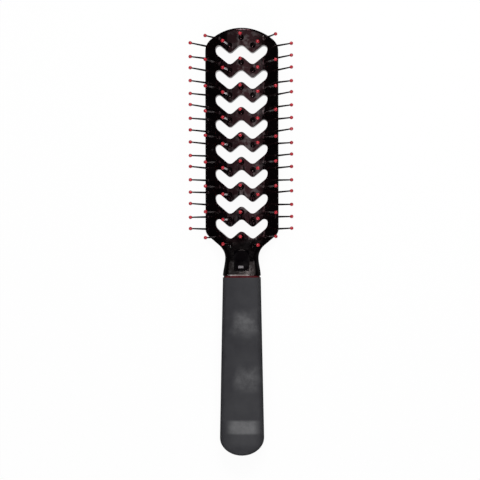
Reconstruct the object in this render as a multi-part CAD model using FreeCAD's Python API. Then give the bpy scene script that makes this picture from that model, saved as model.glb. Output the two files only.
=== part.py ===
import FreeCAD, Part
import math
import os

from FreeCAD import Vector

# A vent brush that lies on its back with its pins up.
# X runs across the brush, Y from the butt of the handle to the tip of the head, Z up.
# The origin is on the resting plane, midway along the brush. All sizes are in millimetres.

# Rungs and vents along the head
rung_count = 9
rung_pitch = 13.3
first_vent_offset = 11.85
last_vent_offset = 17.85

# Neck, ring and grip along the handle
neck_length = 9.6
ring_length = 1.0
grip_length = 95.0
butt_round_length = 9.1

# Head outline, seen from above
head_width = 39.4
head_top_radius = 28.0
head_corner_radius = 7.0
shoulder_radius = 5.35
shoulder_slope_deg = 50.0
shoulder_hollow_radius = 8.6

# Handle outline, seen from above
waist_width = 17.9
ring_width = 20.2
butt_width = 23.6

# Side view
head_height = 10.5
head_side_height = 3.44
waist_rise_height = 0.25
ring_height = 12.6
grip_height = 14.2
butt_height = 13.8

# Cross-section
arch_wall = 5.0
rim_width = 3.4
pocket_end_wall = 3.6
head_edge_radius = 1.2
rim_edge_radius = 0.7
handle_edge_radius = 4.2

# The most of a section's half width and height that an edge round takes
edge_width_share = 0.8
edge_height_share = 0.45

# Flats that stand for curves, in the sections of the brush and in the vents
crown_flats = 6
round_flats = 3
arc_step_deg = 12.5
neck_steps = 5
grip_steps = 8
butt_turns_deg = (18, 36, 54, 70, 84)
flat_tolerance = 1e-9

# Vents
rail_width = 5.8
vent_valley_share = 0.303
vent_slope_deg = 40.5
vent_band_width = 6.37
vent_peak_radius = 2.5
vent_notch_radius = 2.3
vent_upper_valley_radius = 1.9
vent_lower_valley_radius = 2.4
vent_arm_tip_radius = 1.8
vent_arm_heel_radius = 4.8

# Shallow hollow on the front of the neck
hollow_width = 8.2
hollow_length = 11.2
hollow_depth = 0.45
hollow_corner_share = 0.99
hollow_ring_gap = 2.4

# Pins and ball tips
center_pin_offset = 5.3
inner_pin_offset = 9.4
outer_pin_offset = 5.4
side_pin_offset = 9.2
side_pin_end_gap = 4.25
side_pins_per_rung = 2
inner_pin_share = 0.316
outer_pin_share = 0.64
side_pin_edge_gap = 1.48
pin_reach = 14.6
pin_root_radius = 0.55
pin_tip_radius = 0.38
pin_socket_depth = 2.4
pin_socket_gap = 0.05
pin_sway_deg = 1.6
tip_radius = 1.0
boss_base_radius = 1.55
boss_top_radius = 1.25
boss_height = 0.5
small_round_sides = 6

# How far each cutting block runs past the brush
cut_overrun = 2.0

# Tang inside the grip
tang_side_wall = 4.0
tang_front_wall = 3.1
tang_corner = 2.0
tang_end_wall = 20.0
sleeve_gap = 0.05

# Places along the brush
vent_count = rung_count - 1
head_length = first_vent_offset + (vent_count - 1) * rung_pitch + last_vent_offset
overall_length = head_length + neck_length + ring_length + grip_length
head_top_y = overall_length / 2
butt_y = -overall_length / 2
waist_y = head_top_y - head_length
ring_y = waist_y - neck_length
ring_end_y = ring_y - ring_length
butt_round_y = butt_y + butt_round_length
arch_rise = head_height - head_side_height
arch_radius = ((head_width / 2) ** 2 + arch_rise**2) / (2 * arch_rise)
arch_axis_z = head_height - arch_radius

# The shoulder: a round, a slope and a hollow that ends at the waist
shoulder_slope = math.radians(shoulder_slope_deg)
shoulder_x = head_width / 2 - shoulder_radius
hollow_x = waist_width / 2 + shoulder_hollow_radius
slope_end_x = hollow_x - shoulder_hollow_radius * math.cos(shoulder_slope)
slope_end_y = waist_y + shoulder_hollow_radius * math.sin(shoulder_slope)
slope_start_x = shoulder_x + shoulder_radius * math.cos(shoulder_slope)
slope_start_y = slope_end_y + (slope_start_x - slope_end_x) / math.tan(shoulder_slope)
shoulder_y = slope_start_y + shoulder_radius * math.sin(shoulder_slope)

# Pin columns: name, distance from the middle line, first pin from the head's tip, pitch, count
side_pin_count = side_pins_per_rung * vent_count
last_rung_pin = center_pin_offset + (rung_count - 1) * rung_pitch
side_pin_run = last_rung_pin - side_pin_end_gap - side_pin_offset
side_pin_pitch = side_pin_run / (side_pin_count - 1)
side_pin_x = head_width / 2 - side_pin_edge_gap
outer_pin_x = outer_pin_share * head_width / 2
inner_pin_x = inner_pin_share * head_width / 2
pin_columns = (
    ("center", 0.0, center_pin_offset, rung_pitch, rung_count),
    ("inner_left", -inner_pin_x, inner_pin_offset, rung_pitch, rung_count),
    ("inner_right", inner_pin_x, inner_pin_offset, rung_pitch, rung_count),
    ("outer_left", -outer_pin_x, outer_pin_offset, rung_pitch, rung_count),
    ("outer_right", outer_pin_x, outer_pin_offset, rung_pitch, rung_count),
    ("side_left", -side_pin_x, side_pin_offset, side_pin_pitch, side_pin_count),
    ("side_right", side_pin_x, side_pin_offset, side_pin_pitch, side_pin_count),
)


def line(start, end):
    return Part.LineSegment(start, end).toShape()


def arc_about(centre, radius, from_deg, to_deg):
    circle = Part.Circle(centre, Vector(0, 0, 1), radius)
    return Part.ArcOfCircle(circle, math.radians(from_deg), math.radians(to_deg)).toShape()


def flat_face(points):
    return Part.Face(Part.makePolygon(points + points[:1]))


def eased(knots, y):
    """A smooth curve through knots, each a place, a value and a slope, in falling places."""
    for (y0, v0, s0), (y1, v1, s1) in zip(knots, knots[1:]):
        if y >= y1:
            break
    run = y1 - y0
    t = (y - y0) / run
    start = (2 * t**3 - 3 * t**2 + 1) * v0 + (t**3 - 2 * t**2 + t) * run * s0
    return start + (3 * t**2 - 2 * t**3) * v1 + (t**3 - t**2) * run * s1


def half_width(y):
    """Half the brush's width at a place along it."""
    waist, ring, butt = waist_width / 2, ring_width / 2, butt_width / 2
    if y >= shoulder_y:
        return head_width / 2
    if y >= slope_start_y:
        return shoulder_x + math.sqrt(shoulder_radius**2 - (shoulder_y - y) ** 2)
    if y >= slope_end_y:
        return slope_end_x + (y - slope_end_y) * math.tan(shoulder_slope)
    if y >= waist_y:
        return hollow_x - math.sqrt(shoulder_hollow_radius**2 - (y - waist_y) ** 2)
    if y >= butt_round_y:
        ring_slope = (ring - butt) / (ring_y - butt_round_y)
        knots = (
            (waist_y, waist, 0.0),
            (ring_y, ring, ring_slope),
            (butt_round_y, butt, 0.0),
        )
        return eased(knots, y)
    share = (butt_round_y - y) / butt_round_length * math.sin(math.radians(butt_turns_deg[-1]))
    return butt * math.sqrt(1 - share**2)


def front_height(y):
    """Height of the front along the middle line, which swells from the head into the grip."""
    head_end = waist_y + shoulder_hollow_radius
    grip_middle = (ring_y + butt_y) / 2
    if y >= head_end:
        return head_height
    waist_height = head_height + waist_rise_height
    knots = (
        (head_end, head_height, 0.0),
        (waist_y, waist_height, (head_height - ring_height) / (head_end - ring_y)),
        (ring_y, ring_height, (waist_height - grip_height) / (waist_y - grip_middle)),
        (grip_middle, grip_height, 0.0),
        (butt_y, butt_height, 0.0),
    )
    return eased(knots, y)


def crown(x, y):
    """Height of the front, which is an arc across the brush."""
    return front_height(y) - arch_radius + math.sqrt(arch_radius**2 - x**2)


def edge_round(y, head_round):
    """The radius of an edge at a place along the brush, which grows from the head to the waist."""
    share = (slope_end_y - y) / (slope_end_y - waist_y)
    share = min(1.0, max(0.0, share))
    share = share * share * (3 - 2 * share)
    return head_round + share * (handle_edge_radius - head_round)


def section(y):
    """The brush's section at a place along it, as a ring of points with flats for its curves."""
    half = half_width(y)
    to_butt = max(0.0, y - butt_y)
    drop = 0.0
    if to_butt < handle_edge_radius:
        reach = handle_edge_radius - to_butt
        drop = handle_edge_radius - math.sqrt(handle_edge_radius**2 - reach**2)
    height = crown(half, y) - 2 * drop
    front, back = edge_round(y, head_edge_radius), edge_round(y, rim_edge_radius)
    most_x, most_z = edge_width_share * half, edge_height_share * height
    front_x, back_x = min(front, most_x), min(back, most_x)
    front_z, back_z = min(front, most_z), min(back, most_z)
    turns = [math.radians(90 * step / round_flats) for step in range(round_flats + 1)]
    right = []
    for turn in turns:
        right.append((half - back_x * (1 - math.sin(turn)), drop + back_z * (1 - math.cos(turn))))
    for turn in turns:
        x = half - front_x * (1 - math.cos(turn))
        right.append((x, crown(x, y) - drop - front_z * (1 - math.sin(turn))))
    crown_turn = math.asin((half - front_x) / arch_radius)
    for step in range(1, crown_flats):
        x = arch_radius * math.sin(crown_turn * (1 - step / crown_flats))
        right.append((x, crown(x, y) - drop))
    top = [(0.0, crown(0.0, y) - drop)]
    left = [(-x, z) for x, z in reversed(right)]
    return [Vector(x, y, z) for x, z in right + top + left]


def faceted(rings):
    """A solid in flat facets over rings that have as many points each."""
    faces = [flat_face(rings[0]), flat_face(rings[-1])]
    for low, high in zip(rings, rings[1:]):
        for side in range(len(low)):
            following = (side + 1) % len(low)
            a, b, c, d = low[side], low[following], high[following], high[side]
            out_of_plane = (b - a).cross(d - a).dot(c - a)
            if abs(out_of_plane) < flat_tolerance:
                faces.append(flat_face([a, b, c, d]))
            else:
                faces.append(flat_face([a, b, c]))
                faces.append(flat_face([a, c, d]))
    solid = Part.Solid(Part.Shell(faces))
    if solid.Volume < 0:
        solid.reverse()
    return solid


def even(start, end, steps):
    """Places from just after the start to the end, evenly spread."""
    return [start + (end - start) * step / steps for step in range(1, steps + 1)]


def head_bar():
    """Head and neck, with the head running straight past its tip."""
    places = [head_top_y + cut_overrun, shoulder_y]
    steps = math.ceil(shoulder_slope_deg / arc_step_deg)
    for turn in even(0.0, shoulder_slope, steps):
        places.append(shoulder_y - shoulder_radius * math.sin(turn))
    for turn in even(shoulder_slope, 0.0, steps):
        places.append(waist_y + shoulder_hollow_radius * math.sin(turn))
    places.insert(2 + steps, slope_end_y)
    places += even(waist_y, ring_y, neck_steps)
    return faceted([section(y) for y in places])


def grip_bar():
    places = [ring_end_y] + even(ring_end_y, butt_round_y, grip_steps)
    turns = [math.sin(math.radians(turn_deg)) for turn_deg in butt_turns_deg]
    places += [butt_round_y - butt_round_length * turn / turns[-1] for turn in turns]
    return faceted([section(y) for y in places])


def ring_bar():
    return faceted([section(ring_y), section(ring_end_y)])


def mirrored_wire(right_half):
    """A closed wire from the edges on its right, which run from one end to the other."""
    left_half = [edge.mirror(Vector(0, 0, 0), Vector(1, 0, 0)) for edge in right_half]
    return Part.Wire(Part.__sortEdges__(right_half + left_half))


def tip_side(inset, end_y):
    """Right side of the head's tip, moved inwards by the inset, as far as a place along the head."""
    half = head_width / 2 - inset
    corner = head_corner_radius - inset
    top = head_top_radius - inset
    top_centre = Vector(0, head_top_y - head_top_radius, 0)
    corner_x = half - corner
    corner_y = top_centre.y + math.sqrt((top - corner) ** 2 - corner_x**2)
    meet_deg = math.degrees(math.atan2(corner_y - top_centre.y, corner_x))
    return [
        arc_about(top_centre, top, meet_deg, 90),
        arc_about(Vector(corner_x, corner_y, 0), corner, 0, meet_deg),
        line(Vector(half, corner_y, 0), Vector(half, end_y, 0)),
    ]


def tip_prism():
    """An upright block with the outline of the head's tip, which runs back past the ring."""
    end_y = ring_y - cut_overrun
    side = tip_side(0.0, end_y)
    side.append(line(Vector(head_width / 2, end_y, 0), Vector(0, end_y, 0)))
    slab = Part.Face(mirrored_wire(side)).extrude(Vector(0, 0, 2 * grip_height))
    slab.translate(Vector(0, 0, -cut_overrun))
    return slab


def back_pocket():
    """The hollow behind the arched front of the head, with a rim left all round it."""
    end_y = waist_y + shoulder_hollow_radius + pocket_end_wall
    side_x = head_width / 2 - rim_width
    foot_x = side_x - (shoulder_y - end_y) * math.tan(shoulder_slope)
    side = tip_side(rim_width, shoulder_y)
    side.append(line(Vector(side_x, shoulder_y, 0), Vector(foot_x, end_y, 0)))
    side.append(line(Vector(foot_x, end_y, 0), Vector(0, end_y, 0)))
    slab = Part.Face(mirrored_wire(side)).extrude(Vector(0, 0, 2 * head_height))
    radius = arch_radius - arch_wall
    half_turn = math.acos(-arch_axis_z / radius)
    points = []
    for step in range(-crown_flats, crown_flats + 1):
        turn = half_turn * step / crown_flats
        points.append(Vector(radius * math.sin(turn), butt_y, arch_axis_z + radius * math.cos(turn)))
    return slab.common(flat_face(points).extrude(Vector(0, overall_length, 0)))


def corner_points(corners):
    """A closed outline through corners, each a point and a radius that flats stand for."""
    points = []
    for index, (point, radius) in enumerate(corners):
        before = (corners[index - 1][0] - point).normalize()
        after = (corners[(index + 1) % len(corners)][0] - point).normalize()
        half_angle = before.getAngle(after) / 2
        centre = point + (before + after).normalize() * (radius / math.sin(half_angle))
        outward = (point - centre).normalize()
        side = (after - before).normalize()
        turn = math.pi - 2 * half_angle
        for step in range(round_flats + 1):
            angle = turn * (step / round_flats - 0.5)
            points.append(centre + outward * radius * math.cos(angle) + side * radius * math.sin(angle))
    return points


def vent_cutter(peak_y):
    """A zigzag bar that cuts one vent, with the middle peak of its band at the given place."""
    slope = math.tan(math.radians(vent_slope_deg))
    valley_x = vent_valley_share * head_width / 2
    arm_x = head_width / 2 - rail_width
    valley_drop = valley_x * slope
    arm_rise = (arm_x - valley_x) * slope - valley_drop
    upper = peak_y + vent_band_width / 2
    lower = peak_y - vent_band_width / 2
    right = [
        (Vector(valley_x, upper - valley_drop, 0), vent_upper_valley_radius),
        (Vector(arm_x, upper + arm_rise, 0), vent_arm_tip_radius),
        (Vector(arm_x, lower + arm_rise, 0), vent_arm_heel_radius),
        (Vector(valley_x, lower - valley_drop, 0), vent_lower_valley_radius),
    ]
    left = [(Vector(-point.x, point.y, 0), radius) for point, radius in reversed(right)]
    peak = (Vector(0, upper, 0), vent_peak_radius)
    notch = (Vector(0, lower, 0), vent_notch_radius)
    outline = flat_face(corner_points([peak] + right + [notch] + left))
    return outline.extrude(Vector(0, 0, 2 * head_height))


def neck_hollow(body):
    """The room of a shallow round-ended hollow, whose floor is parallel to the front of the body."""
    low_y = ring_y + hollow_ring_gap
    high_y = low_y + hollow_length
    half = hollow_width / 2
    corner = hollow_corner_share * half
    places = ((-half, high_y), (half, high_y), (half, low_y), (-half, low_y))
    outline = flat_face(corner_points([(Vector(x, y, head_height / 2), corner) for x, y in places]))
    slot = outline.extrude(Vector(0, 0, grip_height))
    return slot.cut(body.translated(Vector(0, 0, -hollow_depth)))


def small_round(stations):
    """A small round piece in flat facets, from the radius and height of each of its rings."""
    turns = [2 * math.pi * side / small_round_sides for side in range(small_round_sides)]
    rings = []
    for radius, height in stations:
        rings.append([Vector(radius * math.cos(turn), radius * math.sin(turn), height) for turn in turns])
    return faceted(rings)


def pin_seats():
    """Each column's name, with the placement of each of its pins: origin on the arch, Z along it."""
    seats = {}
    for column, (name, root_x, first_from_tip, pitch, count) in enumerate(pin_columns):
        lean = math.asin(root_x / arch_radius)
        outwards = Vector(math.sin(lean), 0, math.cos(lean))
        seats[name] = []
        for index in range(count):
            y = head_top_y - first_from_tip - index * pitch
            root = Vector(0, y, arch_axis_z) + outwards * arch_radius
            sway = math.radians(pin_sway_deg * math.sin(2.4 * index + 1.7 * column))
            axis = outwards * math.cos(sway) + Vector(0, math.sin(sway), 0)
            turn = FreeCAD.Rotation(Vector(0, 0, 1), axis)
            seats[name].append(FreeCAD.Placement(root, turn))
    return seats


def placed(solid, seat):
    copy = solid.copy()
    copy.Placement = seat
    return copy


# Heights along a pin, from the arch's face
ball_seat_angle = math.acos(pin_tip_radius / tip_radius)
pin_end = pin_reach - tip_radius * math.sin(ball_seat_angle)


def pin_shape(gap=0.0):
    """A tapered pin from the bottom of its socket to the seat of its ball tip."""
    return small_round([(pin_root_radius + gap, -pin_socket_depth), (pin_tip_radius + gap, pin_end)])


def ball_tip_shape():
    rings = []
    for share in (-1, -1 / 3, 1 / 3, 1):
        angle = share * ball_seat_angle
        rings.append((tip_radius * math.cos(angle), pin_reach + tip_radius * math.sin(angle)))
    return small_round(rings)


def boss_shape():
    return small_round([(boss_base_radius, -boss_height), (boss_top_radius, boss_height)])


def tang(gap=0.0):
    """The flat bar of the frame that runs inside the grip."""
    width = ring_width - 2 * tang_side_wall + 2 * gap
    height = ring_height - 2 * tang_front_wall + 2 * gap
    corner = tang_corner + gap
    middle_z = ring_height / 2
    length = ring_length + grip_length - tang_end_wall + gap
    corners = [
        (Vector(side * width / 2, ring_y, middle_z + rise * height / 2), corner)
        for side, rise in ((-1, -1), (1, -1), (1, 1), (-1, 1))
    ]
    return flat_face(corner_points(corners)).extrude(Vector(0, -length, 0))


def frame(seats):
    """Arched head, neck and tang, moulded as one."""
    body = head_bar().common(tip_prism())
    body = body.cut(neck_hollow(body))
    body = body.cut(back_pocket())
    peaks = [head_top_y - first_vent_offset - index * rung_pitch for index in range(vent_count)]
    body = body.cut(Part.makeCompound([vent_cutter(peak_y) for peak_y in peaks]))
    body = body.fuse(tang())
    bosses = []
    sockets = []
    for name, column in seats.items():
        for seat in column:
            sockets.append(placed(pin_shape(pin_socket_gap), seat))
            if not name.startswith("side"):
                bosses.append(placed(boss_shape(), seat))
    return body.fuse(bosses).cut(sockets)


def main():
    os.makedirs("parts", exist_ok=True)
    seats = pin_seats()
    nodes = {
        "frame": frame(seats),
        "accent_ring": ring_bar().cut(tang(sleeve_gap)),
        "grip": grip_bar().cut(tang(sleeve_gap)),
    }
    for name, column in seats.items():
        nodes[name + "_pins"] = Part.makeCompound([placed(pin_shape(), seat) for seat in column])
        nodes[name + "_tips"] = Part.makeCompound([placed(ball_tip_shape(), seat) for seat in column])
    for name, shape in nodes.items():
        shape.exportStep("parts/" + name + ".step")
        print(name, len(shape.Solids), "solids", round(shape.Volume, 1), "mm3", shape.isValid())


main()
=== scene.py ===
# %% [markdown]
# # A vent brush, dressed in Blender
# The brush lies on its back with its pins up. One glossy black moulding makes the arched head
# and the neck. A red ring and a soft grey sleeve follow it, and seventy-seven thin pins with
# red ball tips stand on the head.
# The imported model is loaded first. It gives the overall sizes, and it is never moved.

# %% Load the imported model
import math

import bmesh
import bpy
from mathutils import Matrix, Vector


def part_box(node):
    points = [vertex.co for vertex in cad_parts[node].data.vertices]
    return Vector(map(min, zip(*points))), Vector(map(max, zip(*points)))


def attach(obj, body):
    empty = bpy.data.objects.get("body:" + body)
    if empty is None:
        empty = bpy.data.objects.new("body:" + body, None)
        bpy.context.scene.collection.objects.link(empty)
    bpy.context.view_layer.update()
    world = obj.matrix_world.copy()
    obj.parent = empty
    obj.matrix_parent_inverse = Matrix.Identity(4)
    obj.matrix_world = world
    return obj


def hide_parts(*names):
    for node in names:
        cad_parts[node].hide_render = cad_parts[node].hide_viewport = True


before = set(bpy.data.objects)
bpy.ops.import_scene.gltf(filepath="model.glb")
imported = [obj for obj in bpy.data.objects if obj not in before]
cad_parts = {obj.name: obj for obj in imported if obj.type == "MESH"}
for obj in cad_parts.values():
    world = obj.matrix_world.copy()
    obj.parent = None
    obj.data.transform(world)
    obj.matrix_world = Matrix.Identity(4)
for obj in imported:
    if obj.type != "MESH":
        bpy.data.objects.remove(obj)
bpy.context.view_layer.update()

# %% [markdown]
# ## Sizes
# The workbench is in millimetres, because a moulded edge of 0.0012 m is hard to picture.
# Each finished piece is scaled down to metres, and its scale is applied to its mesh.
# Overall sizes are read from the model. The heights and radii of the moulding are written
# here once.

# %% Sizes, in millimetres
mm = 0.001


def box_mm(node):
    """Lowest and highest corner of a node, in millimetres."""
    low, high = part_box(node)
    return low / mm, high / mm


_, frame_high = box_mm("frame")
ring_low, ring_high = box_mm("accent_ring")
grip_low, grip_high = box_mm("grip")

head_top_y = frame_high.y
head_half = frame_high.x
ring_y = ring_high.y
ring_end_y = ring_low.y
ring_half = ring_high.x
butt_y = grip_low.y
butt_half = grip_high.x

head_height = 10.5
head_side_height = 3.44
waist_height = head_height + 0.05
ring_height = 12.6
grip_height = 14.2
butt_height = 13.8
arch_rise = head_height - head_side_height
arch_radius = (head_half**2 + arch_rise**2) / (2 * arch_rise)
arch_wall = 5.0
arch_axis_z = head_height - arch_radius
rim_width = 3.4

head_top_radius = 28.0
head_corner_radius = 7.0
shoulder_radius = 5.35
shoulder_slope = math.radians(50.0)
shoulder_hollow_radius = 8.6
neck_length = 9.6
waist_half = 8.95
waist_y = ring_y + neck_length
butt_round_length = 9.1

head_edge_round = 1.2
rim_edge_round = 0.7
handle_edge_round = 4.2
print("head top", round(head_top_y, 2), "ring", round(ring_y, 2), "butt", round(butt_y, 2))

# %% [markdown]
# ## The front of the brush
# The front is one crowned surface. Across the brush it is an arc of 31 mm radius, and along
# the brush it stays level over the head and then swells into the handle. One function gives
# its height anywhere, so the moulding, the ring and the sleeve follow one another.

# %% The crowned front
head_end_y = waist_y + shoulder_hollow_radius
grip_middle_y = (ring_y + butt_y) / 2
level_past_waist = 1.6
neck_end_slope = -0.29
grip_start_slope = -0.065
profile = (
    (head_top_y, head_height, 0.0),
    (head_end_y, head_height, 0.0),
    (waist_y - level_past_waist, waist_height, 0.0),
    (ring_y, ring_height, neck_end_slope),
)
handle_profile = (
    (ring_y, ring_height, grip_start_slope),
    (grip_middle_y, grip_height, 0.0),
    (butt_y, butt_height, 0.0),
)


def eased(knots, y):
    """A smooth curve through knots, each a place, a value and a slope, in falling places."""
    y = min(max(y, knots[-1][0]), knots[0][0])
    for (y0, v0, s0), (y1, v1, s1) in zip(knots, knots[1:]):
        if y >= y1:
            break
    run = y1 - y0
    t = (y - y0) / run
    start = (2 * t**3 - 3 * t**2 + 1) * v0 + (t**3 - 2 * t**2 + t) * run * s0
    return start + (3 * t**2 - 2 * t**3) * v1 + (t**3 - t**2) * run * s1


def spine(y):
    """Height of the front along the middle of the brush."""
    return eased(profile if y > ring_y else handle_profile, y)


def crown(x, y):
    """Height of the front at any place."""
    return spine(y) - arch_radius + math.sqrt(arch_radius**2 - x * x)


print("front height", [round(spine(y), 2) for y in (head_top_y, waist_y, ring_y, grip_middle_y)])

# %% [markdown]
# ## Outlines
# A designer draws the brush from above with a handful of arcs and lines. Each outline here is
# the right side only, from the tip end towards the butt, and its left side is a mirror image.
# The sides of the grip are straight.

# %% The outline of head, neck and handle
def arc(centre_x, centre_y, radius, start_deg, end_deg, step_deg=5.0):
    """Points along an arc, from one angle to the other."""
    steps = max(1, round(abs(end_deg - start_deg) / step_deg))
    points = []
    for step in range(steps + 1):
        turn = math.radians(start_deg + (end_deg - start_deg) * step / steps)
        x, y = centre_x + radius * math.cos(turn), centre_y + radius * math.sin(turn)
        points.append(Vector((x, y)))
    return points


def stretch(start, end, length=3.0):
    """Points along a straight, without its two ends."""
    steps = max(1, round((end - start).length / length))
    return [start.lerp(end, step / steps) for step in range(1, steps)]


def head_side(inset=0.0):
    """Right side of the head from its tip to the waist, moved inwards by the inset."""
    half = head_half - inset
    corner = head_corner_radius - inset
    top = head_top_radius - inset
    top_centre_y = head_top_y - head_top_radius
    corner_x = half - corner
    corner_y = top_centre_y + math.sqrt((top - corner) ** 2 - corner_x**2)
    meet_deg = math.degrees(math.atan2(corner_y - top_centre_y, corner_x))

    shoulder = shoulder_radius - inset
    hollow = shoulder_hollow_radius + inset
    hollow_x = waist_half + shoulder_hollow_radius
    slope_end_x = hollow_x - hollow * math.cos(shoulder_slope)
    slope_end_y = waist_y + hollow * math.sin(shoulder_slope)
    slope_x = half - shoulder + shoulder * math.cos(shoulder_slope)
    slope_y = slope_end_y + (slope_x - slope_end_x) / math.tan(shoulder_slope)
    shoulder_y = slope_y + shoulder * math.sin(shoulder_slope)
    slope_deg = math.degrees(shoulder_slope)

    points = arc(0, top_centre_y, top, 90, meet_deg, 2.5)
    points += arc(corner_x, corner_y, corner, meet_deg, 0, 7.5)[1:]
    points += stretch(Vector((half, corner_y)), Vector((half, shoulder_y)))
    points += arc(half - shoulder, shoulder_y, shoulder, 0, -slope_deg)
    points += stretch(points[-1], Vector((slope_end_x, slope_end_y)), 1.5)
    points += arc(hollow_x, waist_y, hollow, 180 - slope_deg, 180)
    return points


butt_round_y = butt_y + butt_round_length
handle_taper = (ring_half - butt_half) / (ring_y - butt_round_y)
waist_to_butt = (
    (waist_y, waist_half, 0.0),
    (ring_y, ring_half, handle_taper),
    (butt_round_y, butt_half, handle_taper),
)


def along_handle(start_y, end_y, steps):
    """Points along the right side of neck and handle, from one place to another."""
    places = [start_y + (end_y - start_y) * step / steps for step in range(steps + 1)]
    return [Vector((eased(waist_to_butt, y), y)) for y in places]


def grip_side():
    """Right side of the sleeve from the ring to the middle of the butt."""
    points = along_handle(ring_end_y, butt_round_y, 30)
    for turn_deg in range(5, 95, 5):
        turn = math.radians(turn_deg)
        along = butt_round_length * math.sin(turn)
        points.append(Vector((butt_half * math.cos(turn), butt_round_y - along)))
    return points


def all_round(side):
    """A closed outline from its right side, and the outward direction at each of its points."""
    on_axis = 0.001
    mirror = Vector((-1, 1))
    outward = []
    for index, point in enumerate(side):
        first, last = index == 0, index == len(side) - 1
        if point.x < on_axis:
            outward.append(Vector((0, 1)) if first else Vector((0, -1)))
        elif first or last:
            outward.append(Vector((1, 0)))
        else:
            along = (side[index + 1] - side[index - 1]).normalized()
            outward.append(Vector((-along.y, along.x)))
    left = [i for i in reversed(range(len(side))) if side[i].x > on_axis]
    points = side + [side[i] * mirror for i in left]
    return points, outward + [outward[i] * mirror for i in left]


print("points on the head's right side", len(head_side()), "and on the grip's", len(grip_side()))

# %% [markdown]
# ## From an outline to a moulded bar
# The bar starts as a flat disc whose rim is laid on the outline. Its face is extruded again
# and again, and each new rim is drawn in or out and lifted. That makes the round of the back
# edge, the wall and the round of the front edge in one go, with clean rows of four-sided faces.
# The last face is then sliced by bisecting, and the slices are lifted onto the crowned front.

# %% Tools for the bench
lift_mark = 1000.0
bisect_gap = 0.0001
bar_slice = 1.5


def start_disc(name, rim):
    """A flat disc with its rim on the given points, open in edit mode with its face selected."""
    bpy.ops.object.select_all(action="DESELECT")
    bpy.ops.mesh.primitive_circle_add(vertices=len(rim), radius=1.0, fill_type="NGON")
    piece = bpy.context.object
    piece.name = name
    for vertex, place in zip(piece.data.vertices, rim):
        vertex.co = place
    bpy.ops.object.mode_set(mode="EDIT")
    return piece


def extrude_rim(piece, rim, next_rim):
    """Extrudes the selected face, and moves its rim to the next points."""
    def key(place):
        return tuple(round(c, 4) for c in place)

    bpy.ops.mesh.extrude_region_move()
    edited = bmesh.from_edit_mesh(piece.data)
    next_places = {key(place): next_place for place, next_place in zip(rim, next_rim)}
    for vertex in edited.verts:
        if vertex.select:
            vertex.co = next_places[key(vertex.co)]
    bmesh.update_edit_mesh(piece.data)


def slice_front(piece, cuts_x, cuts_y):
    """Cuts the lifted face at each place across and along the brush."""
    cuts = [((x, 0, 0), (1, 0, 0)) for x in cuts_x] + [((0, y, 0), (0, 1, 0)) for y in cuts_y]
    for place, normal in cuts:
        edited = bmesh.from_edit_mesh(piece.data)
        edited.select_mode = {"FACE"}
        for face in edited.faces:
            face.select_set(all(vertex.co.z > lift_mark / 2 for vertex in face.verts))
        bmesh.update_edit_mesh(piece.data)
        bpy.ops.mesh.bisect(plane_co=place, plane_no=normal, threshold=bisect_gap)


def lower_front(piece, height):
    """Puts the lifted face down onto a surface, given as a height at each place."""
    edited = bmesh.from_edit_mesh(piece.data)
    for vertex in edited.verts:
        if vertex.co.z > lift_mark / 2:
            vertex.co.z = height(vertex.co.x, vertex.co.y)
    bmesh.update_edit_mesh(piece.data)


def close_edit(piece):
    """Points every face outwards and leaves edit mode."""
    bpy.ops.mesh.select_all(action="SELECT")
    bpy.ops.mesh.normals_make_consistent(inside=False)
    bpy.ops.object.mode_set(mode="OBJECT")
    return piece


def spaced(low, high, step):
    """Even places strictly between two ends."""
    count = max(1, round((high - low) / step))
    return [low + (high - low) * index / count for index in range(1, count)]


def round_width(radius):
    """The width of a front edge's round. A large round is taller than it is wide."""
    return min(radius, 0.72 + 0.4 * radius)


def moulded_bar(name, side, front_round, back_round, slices_along):
    """A bar with rounded edges under the crowned front. The rounds may change along the bar."""
    points, outward = all_round(side)
    turns = [math.radians(turn_deg) for turn_deg in range(0, 91, 15)]
    rims = []
    for turn in turns:
        rim = []
        for point, out in zip(points, outward):
            radius = back_round(point.y)
            place = point - out * radius * (1 - math.sin(turn))
            rim.append(Vector((place.x, place.y, radius * (1 - math.cos(turn)))))
        rims.append(rim)
    for turn in turns:
        rim = []
        for point, out in zip(points, outward):
            radius = front_round(point.y)
            place = point - out * round_width(radius) * (1 - math.cos(turn))
            height = crown(place.x, place.y) - radius * (1 - math.sin(turn))
            rim.append(Vector((place.x, place.y, height)))
        rims.append(rim)
    for place in rims[-1]:
        place.z += lift_mark
    piece = start_disc(name, rims[0])
    for rim, next_rim in zip(rims, rims[1:]):
        extrude_rim(piece, rim, next_rim)
    half = max(place.x for place in rims[-1])
    slice_front(piece, spaced(-half, half, bar_slice), slices_along)
    lower_front(piece, crown)
    close_edit(piece)
    print(name, len(piece.data.polygons), "faces")
    return piece


# %% [markdown]
# ## The black moulding
# The edge of the head is crisp, with a round of 1.2 mm, and it softens to 4.2 mm at the waist,
# where the hand begins. The bar is made solid first and is opened afterwards.

# %% Head and neck as a solid bar
neck_bevel = 0.6
neck_bevel_drop = neck_bevel * 0.82
neck_slice = 0.9


def edge_round(y, head_round):
    """An edge's round at a place along the brush, which grows from the head to the waist."""
    rise = shoulder_hollow_radius * math.sin(shoulder_slope)
    share = min(1.0, max(0.0, (waist_y + rise - y) / rise))
    share = share * share * (3 - 2 * share)  # starts and ends softly
    return head_round + share * (handle_edge_round - head_round)


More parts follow.
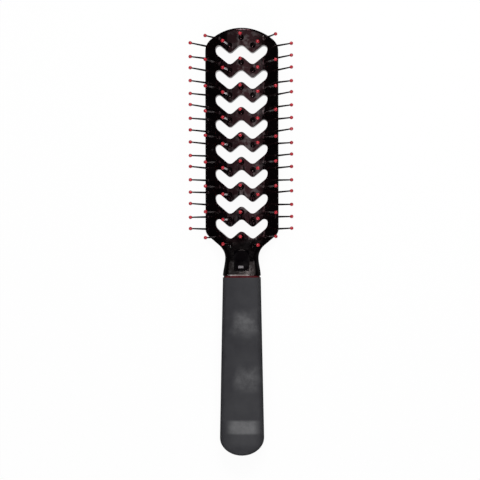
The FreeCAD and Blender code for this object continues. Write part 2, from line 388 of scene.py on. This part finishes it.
bevel_y = ring_y + neck_bevel
neck_side = along_handle(waist_y, bevel_y, 11)[1:] + along_handle(ring_y, ring_y, 1)[1:]
moulding = moulded_bar(
    "brush_frame",
    head_side() + neck_side,
    lambda y: edge_round(y, head_edge_round),
    lambda y: edge_round(y, rim_edge_round),
    spaced(bevel_y, waist_y + 1.2 * shoulder_hollow_radius, neck_slice) + [bevel_y],
)
for vertex in moulding.data.vertices:
    if vertex.co.y < ring_y + neck_bevel / 2 and vertex.co.z > ring_height / 2:
        vertex.co.z -= neck_bevel_drop

# %% [markdown]
# ## Vents
# Hair and air pass through eight zigzag vents. One cutter is drawn as a band that rises and
# falls twice, with a small round in each corner, and it flares where it leaves the front, so
# that the cut edge is rounded and catches the light. It is copied down the head at the pitch.

# %% One vent cutter
vent_count = 8
vent_pitch = 13.3
first_vent_y = head_top_y - 11.85
vent_half = 13.9
vent_valley_x = 0.303 * head_half
vent_slope = math.tan(math.radians(40.5))
vent_band = 6.37
vent_edge_round = 0.18
vent_peak_round = 2.5
vent_notch_round = 2.3
vent_upper_valley_round = 1.9
vent_lower_valley_round = 2.4
vent_arm_tip_round = 1.8
vent_arm_heel_round = 4.8
vent_cutter_foot = -2.0
cutter_headroom = 3.0


def rounded(corners):
    """A closed outline through corners, each a point and the radius that rounds it."""
    points = []
    for index, (corner, radius) in enumerate(corners):
        before = (corners[index - 1][0] - corner).normalized()
        after = (corners[(index + 1) % len(corners)][0] - corner).normalized()
        half_angle = before.angle(after) / 2
        reach = radius / math.tan(half_angle)
        middle = corner + (before + after).normalized() * (radius / math.sin(half_angle))
        start, end = corner + before * reach - middle, corner + after * reach - middle
        turn = start.angle_signed(end)
        steps = max(2, math.ceil(abs(math.degrees(turn)) / 12))
        for step in range(steps + 1):
            part = -turn * step / steps
            spun = Vector((
                start.x * math.cos(part) - start.y * math.sin(part),
                start.x * math.sin(part) + start.y * math.cos(part),
            ))
            points.append(middle + spun)
    return points


def vent_outline(peak_y):
    """The zigzag band, with the middle peak of its centre line at the given place."""
    drop = vent_valley_x * vent_slope
    rise = (vent_half - vent_valley_x) * vent_slope - drop
    upper, lower = peak_y + vent_band / 2, peak_y - vent_band / 2
    right = [
        (Vector((vent_valley_x, upper - drop)), vent_upper_valley_round),
        (Vector((vent_half, upper + rise)), vent_arm_tip_round),
        (Vector((vent_half, lower + rise)), vent_arm_heel_round),
        (Vector((vent_valley_x, lower - drop)), vent_lower_valley_round),
    ]
    left = [(Vector((-point.x, point.y)), radius) for point, radius in reversed(right)]
    peak = [(Vector((0, upper)), vent_peak_round)]
    notch = [(Vector((0, lower)), vent_notch_round)]
    return rounded(peak + right + notch + left)


def outward_of(outline):
    """The outward direction at each point of a clockwise outline."""
    made = []
    for index, point in enumerate(outline):
        along = (outline[(index + 1) % len(outline)] - outline[index - 1]).normalized()
        made.append(Vector((-along.y, along.x)))
    return made


def flared_cutter(name, outline, lowest, edge):
    """A cutter from its lowest level up through the front, with a rounded flare at the front."""
    outward = outward_of(outline)
    rims = [[Vector((point.x, point.y, lowest(point.x, point.y))) for point in outline]]
    for turn_deg in (0, 20, 40, 60, 75):
        turn = math.radians(turn_deg)
        rim = []
        for point, out in zip(outline, outward):
            place = point + out * edge * (1 - math.cos(turn))
            height = crown(place.x, place.y) - edge * (1 - math.sin(turn))
            rim.append(Vector((place.x, place.y, height)))
        rims.append(rim)
    rims.append([place + Vector((0, 0, cutter_headroom)) for place in rims[-1]])
    piece = start_disc(name, rims[0])
    for rim, next_rim in zip(rims, rims[1:]):
        extrude_rim(piece, rim, next_rim)
    return close_edit(piece)


vent = flared_cutter(
    "vent_cutter", vent_outline(first_vent_y), lambda x, y: vent_cutter_foot, vent_edge_round
)
print("vent cutter", len(vent.data.polygons), "faces")

# %% [markdown]
# ## The hollow back
# Turned over, the head is a shallow tray: the arch has an even wall of 5 mm, and a flat rim
# runs all round it. The cutter is a slab with the inner arch on its front.

# %% The cutter for the hollow back
pocket_end_wall = 3.6
pocket_taper = 6.0
pocket_end_half = 9.0
pocket_foot = -3.0
pocket_slice = 1.0


def back_cutter():
    """The room behind the arch."""
    end_y = head_end_y + pocket_end_wall
    side = [point for point in head_side(rim_width) if point.y > end_y + pocket_taper]
    side.append(Vector((pocket_end_half, end_y)))
    side.append(Vector((0.0, end_y)))
    points, outward = all_round(side)
    inner_radius = arch_radius - arch_wall
    rims = [[Vector((point.x, point.y, z)) for point in points] for z in (pocket_foot, lift_mark)]
    piece = start_disc("back_cutter", rims[0])
    extrude_rim(piece, rims[0], rims[1])
    half = max(point.x for point in points)
    slice_front(piece, spaced(-half, half, pocket_slice), [])
    lower_front(piece, lambda x, y: arch_axis_z + math.sqrt(inner_radius**2 - x * x))
    return close_edit(piece)


tray = back_cutter()
print("back cutter", len(tray.data.polygons), "faces")

# %% [markdown]
# ## The hollow on the neck
# A shallow round-ended hollow sits on the front of the neck, just above the ring.

# %% The neck hollow, and all the cuts
hollow_half = 4.1
hollow_length = 11.2
hollow_depth = 0.45
hollow_edge_round = 0.25
hollow_corner_round = hollow_half - 0.3
hollow_y = ring_y + 2.4


def hollow_cutter():
    """A round-ended slot with a floor that follows the crowned front."""
    low, high = hollow_y, hollow_y + hollow_length
    places = ((-hollow_half, high), (hollow_half, high), (hollow_half, low), (-hollow_half, low))
    outline = rounded([(Vector(place), hollow_corner_round) for place in places])
    return flared_cutter(
        "hollow_cutter", outline, lambda x, y: crown(x, y) - hollow_depth, hollow_edge_round
    )


def join(pieces, name):
    """Makes several pieces one."""
    bpy.ops.object.select_all(action="DESELECT")
    for piece in pieces:
        piece.select_set(True)
    bpy.context.view_layer.objects.active = pieces[0]
    bpy.ops.object.join()
    pieces[0].name = name
    return pieces[0]


def copied(piece, matrix):
    """A copy with its own mesh, moved by a matrix."""
    twin = piece.copy()
    twin.data = piece.data.copy()
    twin.data.transform(matrix)
    bpy.context.scene.collection.objects.link(twin)
    return twin


def cut(piece, cutter):
    """Takes the cutter's room out of the piece, and removes the cutter."""
    bpy.ops.object.select_all(action="DESELECT")
    bpy.context.view_layer.objects.active = piece
    piece.select_set(True)
    change = piece.modifiers.new("cut", "BOOLEAN")
    change.operation = "DIFFERENCE"
    change.solver = "EXACT"
    change.object = cutter
    bpy.ops.object.modifier_apply(modifier=change.name)
    bpy.data.objects.remove(cutter)


vents = [vent]
for number in range(1, vent_count):
    vents.append(copied(vent, Matrix.Translation((0, -number * vent_pitch, 0))))
cut(moulding, tray)
cut(moulding, join(vents + [hollow_cutter()], "vent_cutters"))
print("moulding", len(moulding.data.polygons), "faces after the cuts")

# %% [markdown]
# ## Where the pins stand
# Seven columns of pins fan out from the arch: one upright in the middle, two leaning a little,
# two leaning more, and one along each edge with nearly twice as many pins. Every pin points
# straight away from the arch's axis, with a slight sway along the brush, as thin pins have.
# A column is given by its name, place across the head, first pin's distance from the tip end,
# pitch and number of pins.

# %% Seats of the pins
pin_reach = 14.6
pin_sway = math.radians(1.6)
rung_count = vent_count + 1
side_count = 16
center_first, inner_first, outer_first, side_first = 5.3, 9.4, 5.4, 9.2
inner_x = 0.316 * head_half
outer_x = 0.64 * head_half
side_x = head_half - 1.48
side_ends_short = 4.25
side_last = center_first + vent_count * vent_pitch - side_ends_short
side_pitch = (side_last - side_first) / (side_count - 1)
columns = (
    ("center", 0.0, center_first, vent_pitch, rung_count),
    ("inner_left", -inner_x, inner_first, vent_pitch, rung_count),
    ("inner_right", inner_x, inner_first, vent_pitch, rung_count),
    ("outer_left", -outer_x, outer_first, vent_pitch, rung_count),
    ("outer_right", outer_x, outer_first, vent_pitch, rung_count),
    ("side_left", -side_x, side_first, side_pitch, side_count),
    ("side_right", side_x, side_first, side_pitch, side_count),
)


def seats_of(column):
    """A matrix for each pin of a column: origin on the arch, Z along the pin."""
    _, root_x, first, pitch, count = columns[column]
    lean = math.asin(root_x / arch_radius)
    away = Vector((math.sin(lean), 0, math.cos(lean)))
    seats = []
    for index in range(count):
        y = head_top_y - first - index * pitch
        root = Vector((0, y, arch_axis_z)) + away * arch_radius
        sway = pin_sway * math.sin(2.4 * index + 1.7 * column)
        axis = away * math.cos(sway) + Vector((0, math.sin(sway), 0))
        turn = Vector((0, 0, 1)).rotation_difference(axis).to_matrix().to_4x4()
        seats.append(Matrix.Translation(root) @ turn)
    return seats


print("pins", sum(len(seats_of(column)) for column in range(len(columns))))

# %% [markdown]
# ## Bosses
# Each pin on the rungs rises from a low round boss. It starts as a short cylinder that is
# sliced into storeys, and each storey is drawn in, so that the cylinder becomes a low cone.
# The bosses of the two outer columns are flatter.

# %% Bosses on the rungs
boss_radius = 1.55
boss_height = 0.85
boss_foot = -0.35
boss_taper = 0.62
outer_boss_share = 0.35


def boss():
    """One boss round the Z axis, with its foot under the arch's face."""
    bpy.ops.object.select_all(action="DESELECT")
    depth = boss_height - boss_foot
    bpy.ops.mesh.primitive_cylinder_add(
        vertices=24, radius=boss_radius, depth=depth, location=(0, 0, boss_foot + depth / 2)
    )
    piece = bpy.context.object
    bpy.ops.object.transform_apply(location=True)
    bpy.ops.object.mode_set(mode="EDIT")
    for height in (0.0, 0.25, 0.45, 0.6, 0.72, 0.8):
        bpy.ops.mesh.select_all(action="SELECT")
        bpy.ops.mesh.bisect(plane_co=(0, 0, height), plane_no=(0, 0, 1), threshold=bisect_gap)
    edited = bmesh.from_edit_mesh(piece.data)
    for vertex in edited.verts:
        share = max(0.0, vertex.co.z) / boss_height
        narrower = 1 - boss_taper * share**1.2
        vertex.co.x *= narrower
        vertex.co.y *= narrower
    bmesh.update_edit_mesh(piece.data)
    return close_edit(piece)


boss_pattern = boss()
bosses = []
for column, (name, *_) in enumerate(columns):
    if not name.startswith("side"):
        flatness = outer_boss_share if name.startswith("outer") else 1.0
        flatter = Matrix.Scale(flatness, 4, (0, 0, 1))
        bosses += [copied(boss_pattern, seat @ flatter) for seat in seats_of(column)]
bpy.data.objects.remove(boss_pattern)
moulding = join([moulding] + bosses, "brush_frame")
print("bosses", len(bosses), "moulding", len(moulding.data.polygons), "faces")

# %% [markdown]
# ## Writing a finish
# A material is a tree of nodes. Two small classes let it be written as sums: `Flow` wraps one
# output socket, and adding or multiplying it adds a Math node. `Finish` adds every other node.

# %% Two classes for materials
class Flow:
    """One output of a node, ready for sums."""

    def __init__(self, finish, socket):
        self.finish = finish
        self.socket = socket

    def sum_with(self, operation, first, second):
        """One sum as a Math node."""
        return self.finish.node("ShaderNodeMath", {"operation": operation}, {0: first, 1: second})

    def __add__(self, other):
        return self.sum_with("ADD", self, other)

    def __radd__(self, other):
        return self.sum_with("ADD", other, self)

    def __sub__(self, other):
        return self.sum_with("SUBTRACT", self, other)

    def __mul__(self, other):
        return self.sum_with("MULTIPLY", self, other)

    def __rmul__(self, other):
        return self.sum_with("MULTIPLY", other, self)


class Finish:
    """A material under construction."""

    def __init__(self, name):
        self.material = bpy.data.materials.new(name)
        self.material.use_nodes = True
        self.tree = self.material.node_tree
        self.tree.nodes.clear()

    def node(self, kind, settings, inputs, output=0):
        """Adds a node. Settings come first, then values or flows into its sockets."""
        made = self.tree.nodes.new(kind)
        for name, value in settings.items():
            if name == "stops":
                self.set_stops(made, value)
            else:
                setattr(made, name, value)
        for key, value in inputs.items():
            if isinstance(value, Flow):
                self.tree.links.new(value.socket, made.inputs[key])
            else:
                made.inputs[key].default_value = value
        return Flow(self, made.outputs[output])

    def set_stops(self, ramp, stops):
        """Places the stops of a colour ramp."""
        marks = ramp.color_ramp.elements
        while len(marks) < len(stops):
            marks.new(0.5)
        for mark, (place, colour) in zip(marks, stops):
            mark.position = place
            mark.color = colour

    def place(self):
        """Object coordinates, in metres."""
        return self.node("ShaderNodeTexCoord", {}, {}, "Object")

    def noise(self, scale, detail=3.0, roughness=0.5):
        """Soft noise, with its scale in waves to the metre."""
        inputs = {"Vector": self.place(), "Scale": scale, "Detail": detail, "Roughness": roughness}
        return self.node("ShaderNodeTexNoise", {}, inputs, "Fac")

    def ramp(self, flow, stops):
        """A colour ramp through the given stops."""
        return self.node("ShaderNodeValToRGB", {"stops": stops}, {"Fac": flow}, "Color")

    def axes(self):
        """The three Object coordinates, each by itself."""
        split = self.tree.nodes.new("ShaderNodeSeparateXYZ")
        self.tree.links.new(self.place().socket, split.inputs[0])
        return [Flow(self, output) for output in split.outputs]

    def within(self, flow, low, high, soft):
        """One between two places, falling softly to nothing past them."""
        middle, half = (low + high) / 2 * mm, (high - low) / 2 * mm
        away = self.node("ShaderNodeMath", {"operation": "ABSOLUTE"}, {0: flow - middle})
        return self.spread(away, half, half + soft * mm, 1.0, 0.0, "SMOOTHSTEP")

    def spread(self, flow, low, high, at_low, at_high, kind="LINEAR"):
        """A flow between two values, spread over a new range and held at its ends."""
        inputs = {"Value": flow, "From Min": low, "From Max": high}
        inputs.update({"To Min": at_low, "To Max": at_high})
        return self.node("ShaderNodeMapRange", {"interpolation_type": kind}, inputs, "Result")

    def bump(self, height, strength, distance):
        """A normal that follows a height."""
        inputs = {"Height": height, "Strength": strength, "Distance": distance}
        return self.node("ShaderNodeBump", {}, inputs, "Normal")

    def surface(self, inputs):
        """The finished surface."""
        shader = self.node("ShaderNodeBsdfPrincipled", {}, inputs, "BSDF")
        self.node_output(shader)
        return self.material

    def mixed(self, share, first, second):
        """Two surfaces mixed, with the share of the second."""
        return self.node("ShaderNodeMixShader", {}, {0: share, 1: first, 2: second})

    def node_output(self, shader):
        """Makes a shader the material's surface."""
        made = self.tree.nodes.new("ShaderNodeOutputMaterial")
        self.tree.links.new(shader.socket, made.inputs["Surface"])


# %% [markdown]
# ## Black plastic
# The moulding is glossy black styrene. A mould is never quite flat, so a faint waviness bends
# its reflections, and a thin clear film that lies in patches makes the gloss uneven.

# %% The black finish
def black_plastic():
    """Gloss black, matt in the hollow on the neck apart from one pale spot there, a painted
    highlight.
    """
    finish = Finish("black_plastic")
    x, y, _ = finish.axes()
    low, high = hollow_y + 0.3, hollow_y + hollow_length - 0.3
    hollow = finish.within(x, -3.9, 3.9, 0.3) * finish.within(y, low, high, 0.3)
    # The pale spot in the neck's hollow is a painted highlight: its colour is lifted to pale grey,
    # and it keeps its gloss.
    low, high = hollow_y + 1.9, hollow_y + 2.6
    hollow_painted_highlight = finish.within(x, -1.5, 0.7, 0.5) * finish.within(y, low, high, 0.5)
    tone = finish.ramp(finish.noise(55, 4) + hollow_painted_highlight * 2, [
        (0.3, (0.0006, 0.0004, 0.0006, 1)),
        (0.75, (0.0020, 0.0012, 0.0015, 1)),
        (1.0, (0.16, 0.15, 0.16, 1)),
    ])
    rub = finish.noise(420, 4, 0.6)
    cloud = finish.noise(170, 3, 0.6)
    wavy = finish.bump(finish.noise(130, 2), 0.5, 0.0006)
    film = finish.spread(finish.noise(250, 4, 0.65), 0.48, 0.65, 0.0, 1.0)

    def gloss(tint):
        return finish.node("ShaderNodeBsdfPrincipled", {}, {
            "Base Color": tone,
            "Roughness": rub * 0.12 + cloud * 0.55 - 0.155,
            "IOR": 1.46,
            "Specular Tint": tint,
            "Normal": wavy,
            "Coat Weight": film,
            "Coat Roughness": 0.14,
            "Coat IOR": 1.68,
        }, "BSDF")

    on_neck = finish.within(y, -30.0, -2.0, 4.0)
    shiny = finish.mixed(on_neck, gloss((1.0, 0.46, 0.52, 1)), gloss((0.95, 0.80, 0.78, 1)))
    matt = finish.node("ShaderNodeBsdfDiffuse", {}, {"Color": (0.0010, 0.0006, 0.0012, 1)})
    finish.node_output(finish.mixed((hollow - hollow_painted_highlight) * 0.92, shiny, matt))
    return finish.material


black = black_plastic()
print(black.name, len(black.node_tree.nodes), "nodes")

# %% [markdown]
# ## Finishing a piece
# The last steps are the same for each piece: scale to metres, smooth the shading where faces
# meet at a low angle, give the finish, and hide the part of the imported model it stands for.

# %% One function for the last steps
smooth_deg = 32.0


def finished(piece, material, stands_for):
    """Puts a piece in metres, with its finish, on the body that carries it."""
    bpy.ops.object.select_all(action="DESELECT")
    bpy.context.view_layer.objects.active = piece
    piece.select_set(True)
    piece.scale = (mm, mm, mm)
    bpy.ops.object.transform_apply(location=True, rotation=True, scale=True)
    bpy.ops.object.shade_smooth_by_angle(angle=math.radians(smooth_deg))
    piece.data.materials.clear()
    piece.data.materials.append(material)
    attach(piece, "root")
    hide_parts(*stands_for)
    print(piece.name, len(piece.data.polygons), "faces")
    return piece


finished(moulding, black, ["frame"])

# %% [markdown]
# ## The ring and the sleeve
# A thin red ring closes the neck, and the sleeve of grey rubber begins behind it. Both are
# bars under the same crowned front, with the large round that a hand likes. The ring lies a
# little deeper than its neighbours, as in a groove, and its red is painted darker there as shade.
# The rubber has a painted sheen: it is paler in two patches and in a band near the butt.

# %% Red ring and grey sleeve
def red_plastic(name, deepest, lightest, shine=0.5):
    """Gloss red between two tones."""
    finish = Finish(name)
    tone = finish.ramp(finish.noise(500, 3), [(0.3, deepest), (0.75, lightest)])
    return finish.surface({
        "Base Color": tone,
        "Roughness": 0.16 + finish.noise(900, 2) * 0.12,
        "Specular IOR Level": shine,
        "Normal": finish.bump(finish.noise(700, 2), 0.25, 0.0001),
    })


def grip_rubber():
    """Satin dark grey, with a painted sheen that is paler in two patches and in a band."""
    finish = Finish("grip_rubber")
    cloud = finish.noise(38, 5, 0.6)
    x, y, _ = finish.axes()
    blotch = finish.noise(230, 5, 0.7)
    across_sheen_band = finish.within(x, -3.2, 5.2, 6.0)
    sheen_band = across_sheen_band * finish.within(y, -101.4, -96.0, 1.6)
    below_sheen_band = across_sheen_band * finish.within(y, -106.0, -100.0, 5.0)
    stray = (finish.noise(90, 3, 0.6) - 0.5) * 0.008
    speck = (blotch - 0.4) * 2.6
    x, y = x + stray, y + stray
    sheen_patches = finish.within(x, -1.5, 5.5, 5.0) * finish.within(y, -45.5, -41.5, 7.0)
    near_sheen_patch = 0.8 * finish.within(x, 0.0, 6.0, 5.0) * finish.within(y, -75.5, -71.0, 7.0)
    sheen_patches = sheen_patches + near_sheen_patch
    # The two pale patches and the band are painted sheen in the rubber's colour.
    painted_sheen = sheen_patches * (0.28 + speck * 0.55) + sheen_band * (0.62 + speck * 0.5) + below_sheen_band * 0.12
    tone_and_sheen = cloud * 0.3 + painted_sheen * 0.62
    tone = finish.ramp(tone_and_sheen, [
        (0.05, (0.0204, 0.0202, 0.0242, 1)),
        (0.95, (0.170, 0.170, 0.175, 1)),
    ])
    grain = finish.noise(2600, 3, 0.6)
    return finish.surface({
        "Base Color": tone,
        "Roughness": 0.5 + cloud * 0.2,
        "Specular IOR Level": 0.12,
        "Normal": finish.bump(grain, 0.35, 0.00008),
    })


def handle_round(y):
    """The round of the handle's edges, the same all along it."""
    return handle_edge_round


groove_depth = 0.45
sleeve_slice = 3.0
red = red_plastic("red_plastic", (0.34, 0.016, 0.027, 1), (0.53, 0.030, 0.046, 1))
# The ring's red is painted darker than the tips' red, as shade in its groove.
ring_red_painted_shade = red_plastic(
    "ring_red_painted_shade", (0.060, 0.008, 0.010, 1), (0.100, 0.014, 0.018, 1), shine=0.18
)
rubber = grip_rubber()
ring_side = [Vector((ring_half, ring_y)), Vector((ring_half, ring_end_y))]
ring = moulded_bar("accent_ring_visual", ring_side, handle_round, handle_round, [])
for vertex in ring.data.vertices:
    vertex.co.x *= 1 - groove_depth / ring_half
    if vertex.co.z > ring_height / 2:
        vertex.co.z -= groove_depth
finished(ring, ring_red_painted_shade, ["accent_ring"])
sleeve_slices = spaced(butt_y, ring_end_y, sleeve_slice)
sleeve = moulded_bar("grip_sleeve", grip_side(), handle_round, handle_round, sleeve_slices)
finished(sleeve, rubber, ["grip"])

# %% [markdown]
# ## Pins and their balls
# One pin is drawn as a cone and widened at its foot, and one ball as a sphere that is drawn
# out a little where it grips the pin. Both are copied to every seat of a column and joined.
# The pins of one column have a painted highlight along a part of their shafts.

# %% One pin and one ball
pin_foot_radius = 0.56
pin_tip_radius = 0.36
pin_foot = -1.0
pin_top = pin_reach - 0.4
flare_top = 1.3
ball_radius = 0.925
ball_waist = -0.3


def pin():
    """One pin round the Z axis, from inside its boss to inside its ball."""
    bpy.ops.object.select_all(action="DESELECT")
    bpy.ops.mesh.primitive_cone_add(
        vertices=14,
        radius1=pin_foot_radius,
        radius2=pin_tip_radius,
        depth=pin_top - pin_foot,
        location=(0, 0, (pin_foot + pin_top) / 2),
    )
    piece = bpy.context.object
    bpy.ops.object.transform_apply(location=True)
    bpy.ops.object.mode_set(mode="EDIT")
    for height in (-0.2, 0.2, 0.5, 0.8, 1.2, 2.0):
        bpy.ops.mesh.select_all(action="SELECT")
        bpy.ops.mesh.bisect(plane_co=(0, 0, height), plane_no=(0, 0, 1), threshold=bisect_gap)
    edited = bmesh.from_edit_mesh(piece.data)
    for vertex in edited.verts:
        if vertex.co.z < flare_top:
            flare = 1 + 0.45 * min(1.0, (flare_top - vertex.co.z) / flare_top) ** 2
            vertex.co.x *= flare
            vertex.co.y *= flare
    bmesh.update_edit_mesh(piece.data)
    return close_edit(piece)


def ball():
    """One ball tip, drawn out a little towards its pin."""
    bpy.ops.object.select_all(action="DESELECT")
    bpy.ops.mesh.primitive_uv_sphere_add(segments=20, ring_count=12, radius=ball_radius)
    piece = bpy.context.object
    bpy.ops.object.mode_set(mode="EDIT")
    edited = bmesh.from_edit_mesh(piece.data)
    for vertex in edited.verts:
        if vertex.co.z < ball_waist:
            vertex.co.z += 0.5 * (vertex.co.z - ball_waist)
        vertex.co.z += pin_reach
    bmesh.update_edit_mesh(piece.data)
    return close_edit(piece)


def painted_highlight_plastic():
    """Black plastic, with a painted highlight over one narrow range across the head."""
    finish = Finish("painted_highlight_plastic")
    x, y, _ = finish.axes()
    # The pale stripe is a painted highlight along the shafts of one column of pins.
    painted_sheen = finish.within(x, -8.6, -7.5, 0.7) * finish.within(y, 6.0, 108.0, 2.0)
    tone = finish.ramp(painted_sheen, [(0.0, (0.002, 0.001, 0.002, 1)), (1.0, (0.75, 0.70, 0.72, 1))])
    return finish.surface({"Base Color": tone, "Roughness": 0.3, "IOR": 1.55})


painted_highlight_pins = painted_highlight_plastic()
pin_pattern, ball_pattern = pin(), ball()
for column, (name, *_) in enumerate(columns):
    seats = seats_of(column)
    pins = join([copied(pin_pattern, seat) for seat in seats], name + "_pin_row")
    finished(pins, painted_highlight_pins if name == "inner_left" else black, [name + "_pins"])
    balls = join([copied(ball_pattern, seat) for seat in seats], name + "_ball_row")
    finished(balls, red, [name + "_tips"])
bpy.data.objects.remove(pin_pattern)
bpy.data.objects.remove(ball_pattern)

# %% [markdown]
# ## Floor, light and camera
# The brush lies on a white table. The table glows for the camera, so it is white without more
# light on the brush, and a share of it is plain diffuse paint, which keeps the soft shadow.
# In reflections the table glows below the vents and is faint elsewhere, as in a dark studio.

# %% The floor
def white_floor():
    """White to the camera, plain paint to soft light, and mostly dark in reflections."""
    finish = Finish("white_floor")
    path = finish.tree.nodes.new("ShaderNodeLightPath")
    seen = Flow(finish, path.outputs["Is Camera Ray"])
    seen = seen + Flow(finish, path.outputs["Is Transmission Ray"])
    mirrored = Flow(finish, path.outputs["Is Glossy Ray"])
    paint = finish.node("ShaderNodeBsdfDiffuse", {}, {"Color": (0.9, 0.9, 0.9, 1)})
    glow = finish.node("ShaderNodeEmission", {}, {"Color": (1, 1, 1, 1), "Strength": 1.0})
    x, y, _ = finish.axes()
    below_vents = finish.within(x, -14.0, 14.0, 3.0) * finish.within(y, 4.0, 106.0, 3.0)
    open_floor = finish.mixed(seen * 0.94, paint, glow)
    unlit = finish.node("ShaderNodeBsdfDiffuse", {}, {"Color": (0.01, 0.01, 0.01, 1)})
    mirror_image = finish.mixed(below_vents * 0.66 + 0.04, unlit, glow)
    finish.node_output(finish.mixed(mirrored, open_floor, mirror_image))
    return finish.material


bpy.ops.object.select_all(action="DESELECT")
bpy.ops.mesh.primitive_plane_add(size=6.0, location=(0, 0, 0))
floor = bpy.context.object
floor.name = "floor"
floor.data.materials.append(white_floor())
print("floor", floor.dimensions[:2], "metres")

# %% [markdown]
# ## Lamps and the room
# Two soft lamps hang close over the head and are seen in its gloss, one inside the other. A
# far and a near lamp light the brush along its length, and a large one overhead fills in
# without a reflection.

# %% The lamps
def softbox(name, place, aim, size, watts, shines=True):
    """An oblong soft lamp that faces its aim."""
    bpy.ops.object.select_all(action="DESELECT")
    bpy.ops.object.light_add(type="AREA", location=place)
    lamp = bpy.context.object
    lamp.name = name
    lamp.data.shape = "RECTANGLE"
    lamp.data.size, lamp.data.size_y = size
    lamp.data.energy = watts
    lamp.rotation_euler = (Vector(aim) - Vector(place)).to_track_quat("-Z", "Y").to_euler()
    lamp.visible_glossy = shines
    lamp.visible_camera = False
    print(name, watts, "W")


middle = (0, 0, 0.01)
softbox("head_panel", (0.0285, 0.097, 0.20), (0.0285, 0.097, 0.0), (0.313, 0.175), 0.073)
softbox("head_strip", (0.06, 0.090, 0.21), (0.06, 0.090, 0.0), (0.18, 0.15), 0.047)
softbox("far_lamp", (0.05, 0.75, 0.75), middle, (0.5, 0.25), 5.0)
softbox("near_lamp", (-0.05, -0.9, 0.6), middle, (0.6, 0.3), 4.0)
softbox("fill_lamp", (0.0, 0.0, 1.6), middle, (2.0, 2.0), 16.0, shines=False)


room_strength = 0.01


def studio_world():
    """A white room as the camera sees it, and a dim one as the brush sees it."""
    world = bpy.data.worlds.new("studio")
    world.use_nodes = True
    tree = world.node_tree
    seen = tree.nodes["Background"]
    seen.inputs["Color"].default_value = (1, 1, 1, 1)
    dim = tree.nodes.new("ShaderNodeBackground")
    dim.inputs["Strength"].default_value = room_strength
    path = tree.nodes.new("ShaderNodeLightPath")
    choice = tree.nodes.new("ShaderNodeMixShader")
    tree.links.new(path.outputs["Is Camera Ray"], choice.inputs[0])
    tree.links.new(dim.outputs[0], choice.inputs[1])
    tree.links.new(seen.outputs[0], choice.inputs[2])
    tree.links.new(choice.outputs[0], tree.nodes["World Output"].inputs["Surface"])
    return world


bpy.context.scene.world = studio_world()

# %% [markdown]
# ## The camera
# It looks down on the pins from 0.73 m, turned by 2.3 degrees to one side.

# %% The camera
camera_reach = 0.73
seen_width = 0.2568
sensor_mm = 36.0
camera_turn = math.radians(2.3)
camera_roll = math.radians(-0.1)
aim = Vector((-0.87 * mm, 0.8 * mm, 8.0 * mm))
away = Vector((math.sin(camera_turn), 0, math.cos(camera_turn)))
bpy.ops.object.select_all(action="DESELECT")
bpy.ops.object.camera_add(
    location=aim + away * camera_reach, rotation=(0, camera_turn, camera_roll)
)
camera = bpy.context.object
camera.data.sensor_width = sensor_mm
camera.data.lens = sensor_mm * camera_reach / seen_width
bpy.context.scene.camera = camera
bpy.context.scene.view_settings.view_transform = "Standard"
print("camera lens", round(camera.data.lens, 2), "mm")
